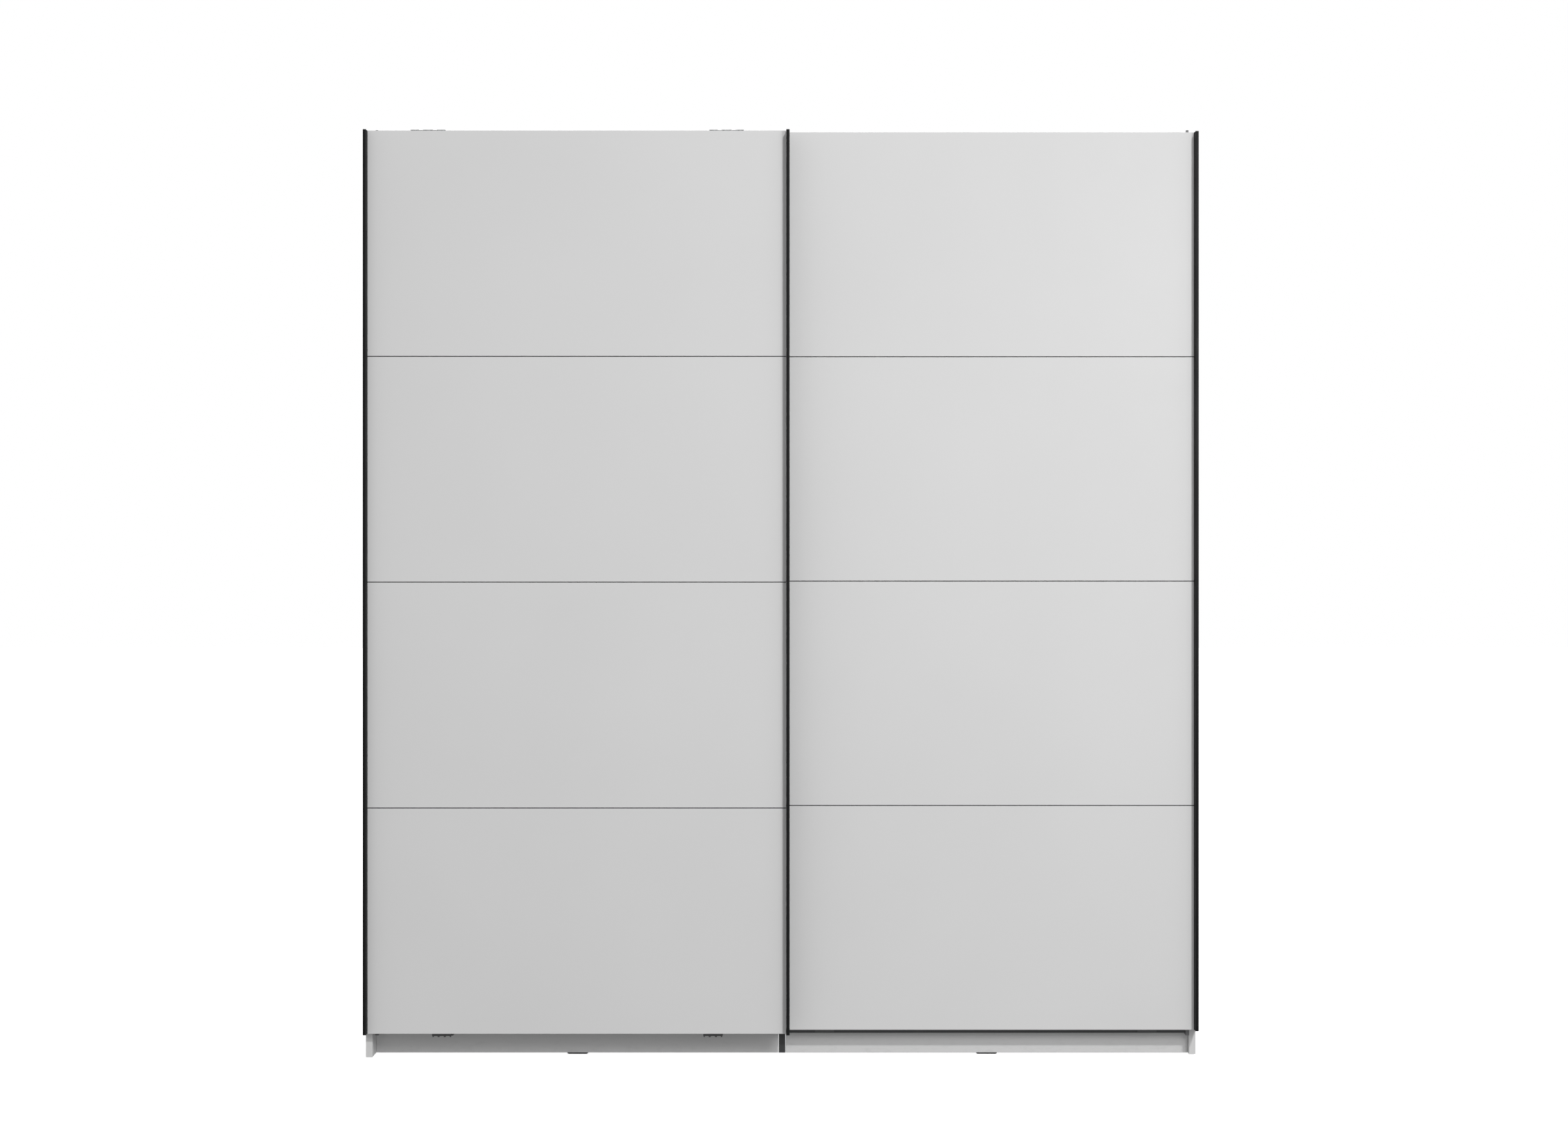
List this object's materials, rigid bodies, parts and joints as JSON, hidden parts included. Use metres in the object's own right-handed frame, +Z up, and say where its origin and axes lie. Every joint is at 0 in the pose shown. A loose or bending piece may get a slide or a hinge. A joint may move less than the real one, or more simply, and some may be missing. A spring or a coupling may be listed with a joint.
{
  "type": "sliding door wardrobe",
  "caption": "White wardrobe whose floating doors hang from a top rail and slide past each other, with dark grip profiles, hat shelves and clothes rails.",
  "frame": {"origin": "on the floor, in the middle of the footprint", "axes": "+Z up; -Y is the front, where the doors are; +X to the right seen from the front"},
  "size_m": [2, 0.68, 2.236],
  "materials": {
    "white_board": "white melamine face on chipboard, satin",
    "backing": "thin hardboard with a matte white face",
    "graphite_profile": "graphite-coloured extrusion, satin",
    "graphite_edge": "graphite edge strip, satin",
    "rail_aluminium": "natural anodised",
    "rail_steel": "bright plated oval tube",
    "carriage_steel": "zinc-plated pressed steel",
    "grey_plastic": "moulded mid-grey plastic",
    "dark_plastic": "moulded near-black plastic"
  },
  "bodies": {
    "case": {"side_panel_left": "white_board", "side_panel_right": "white_board", "centre_partition": "white_board", "partition_front_trim": "graphite_edge", "bottom_board_left": "white_board", "bottom_board_right": "white_board", "top_board_left": "white_board", "top_board_right": "white_board", "plinth_left": "white_board", "plinth_right": "white_board", "back_panel_left": "backing", "back_panel_right": "backing", "shelf_left": "white_board", "shelf_right": "white_board", "clothes_rail_left": "rail_steel", "clothes_rail_right": "rail_steel", "rail_cup_left_inner": "grey_plastic", "rail_cup_left_outer": "grey_plastic", "rail_cup_right_inner": "grey_plastic", "rail_cup_right_outer": "grey_plastic", "top_running_rail": "rail_aluminium", "top_end_stop_left": "grey_plastic", "top_end_stop_right": "grey_plastic", "track_stop_front_door_closed": "grey_plastic", "track_stop_front_door_open": "grey_plastic", "track_stop_rear_door_closed": "grey_plastic", "track_stop_rear_door_open": "grey_plastic", "bottom_guide_rail": "graphite_profile", "bottom_end_stop_left": "grey_plastic", "bottom_end_stop_right": "grey_plastic", "plinth_glide_left": "dark_plastic", "plinth_glide_right": "dark_plastic", "side_glide_left_front": "dark_plastic", "side_glide_left_back": "dark_plastic", "side_glide_right_front": "dark_plastic", "side_glide_right_back": "dark_plastic", "partition_glide": "dark_plastic"},
    "left_door": {"left_door_panel": "white_board", "left_door_grip_left": "graphite_profile", "left_door_grip_right": "graphite_profile", "left_door_carriage_left": "carriage_steel", "left_door_carriage_right": "carriage_steel", "left_door_guide_left": "dark_plastic", "left_door_guide_right": "dark_plastic"},
    "right_door": {"right_door_panel": "white_board", "right_door_grip_left": "graphite_profile", "right_door_grip_right": "graphite_profile", "right_door_carriage_left": "carriage_steel", "right_door_carriage_right": "carriage_steel", "right_door_guide_left": "dark_plastic", "right_door_guide_right": "dark_plastic"},
    "left_door_wheel_left_1": {"left_door_wheel_left_1": "dark_plastic"},
    "left_door_wheel_left_2": {"left_door_wheel_left_2": "dark_plastic"},
    "left_door_wheel_right_1": {"left_door_wheel_right_1": "dark_plastic"},
    "left_door_wheel_right_2": {"left_door_wheel_right_2": "dark_plastic"},
    "right_door_wheel_left_1": {"right_door_wheel_left_1": "dark_plastic"},
    "right_door_wheel_left_2": {"right_door_wheel_left_2": "dark_plastic"},
    "right_door_wheel_right_1": {"right_door_wheel_right_1": "dark_plastic"},
    "right_door_wheel_right_2": {"right_door_wheel_right_2": "dark_plastic"}
  },
  "joints": [
    {"name": "left_door_slide", "type": "slide", "parent": "case", "child": "left_door", "axis": [1, 0, 0], "range_m": [0, 0.864]},
    {"name": "right_door_slide", "type": "slide", "parent": "case", "child": "right_door", "axis": [1, 0, 0], "range_m": [-0.864, 0]},
    {"name": "left_door_wheel_left_1_roll", "type": "hinge", "parent": "left_door", "child": "left_door_wheel_left_1", "pos_m": [-0.872, -0.222, 2.2153], "axis": [0, 1, 0], "continuous": true},
    {"name": "left_door_wheel_left_2_roll", "type": "hinge", "parent": "left_door", "child": "left_door_wheel_left_2", "pos_m": [-0.826, -0.222, 2.2153], "axis": [0, 1, 0], "continuous": true},
    {"name": "left_door_wheel_right_1_roll", "type": "hinge", "parent": "left_door", "child": "left_door_wheel_right_1", "pos_m": [-0.156, -0.222, 2.2153], "axis": [0, 1, 0], "continuous": true},
    {"name": "left_door_wheel_right_2_roll", "type": "hinge", "parent": "left_door", "child": "left_door_wheel_right_2", "pos_m": [-0.11, -0.222, 2.2153], "axis": [0, 1, 0], "continuous": true},
    {"name": "right_door_wheel_left_1_roll", "type": "hinge", "parent": "right_door", "child": "right_door_wheel_left_1", "pos_m": [0.11, -0.255, 2.2083], "axis": [0, 1, 0], "continuous": true},
    {"name": "right_door_wheel_left_2_roll", "type": "hinge", "parent": "right_door", "child": "right_door_wheel_left_2", "pos_m": [0.156, -0.255, 2.2083], "axis": [0, 1, 0], "continuous": true},
    {"name": "right_door_wheel_right_1_roll", "type": "hinge", "parent": "right_door", "child": "right_door_wheel_right_1", "pos_m": [0.826, -0.255, 2.2083], "axis": [0, 1, 0], "continuous": true},
    {"name": "right_door_wheel_right_2_roll", "type": "hinge", "parent": "right_door", "child": "right_door_wheel_right_2", "pos_m": [0.872, -0.255, 2.2083], "axis": [0, 1, 0], "continuous": true}
  ],
  "couplings": [
    {"joint": "left_door_wheel_left_1_roll", "follows": "left_door_slide", "rad_per_m": 83.333},
    {"joint": "left_door_wheel_left_2_roll", "follows": "left_door_slide", "rad_per_m": 83.333},
    {"joint": "left_door_wheel_right_1_roll", "follows": "left_door_slide", "rad_per_m": 83.333},
    {"joint": "left_door_wheel_right_2_roll", "follows": "left_door_slide", "rad_per_m": 83.333},
    {"joint": "right_door_wheel_left_1_roll", "follows": "right_door_slide", "rad_per_m": 83.333},
    {"joint": "right_door_wheel_left_2_roll", "follows": "right_door_slide", "rad_per_m": 83.333},
    {"joint": "right_door_wheel_right_1_roll", "follows": "right_door_slide", "rad_per_m": 83.333},
    {"joint": "right_door_wheel_right_2_roll", "follows": "right_door_slide", "rad_per_m": 83.333}
  ]
}
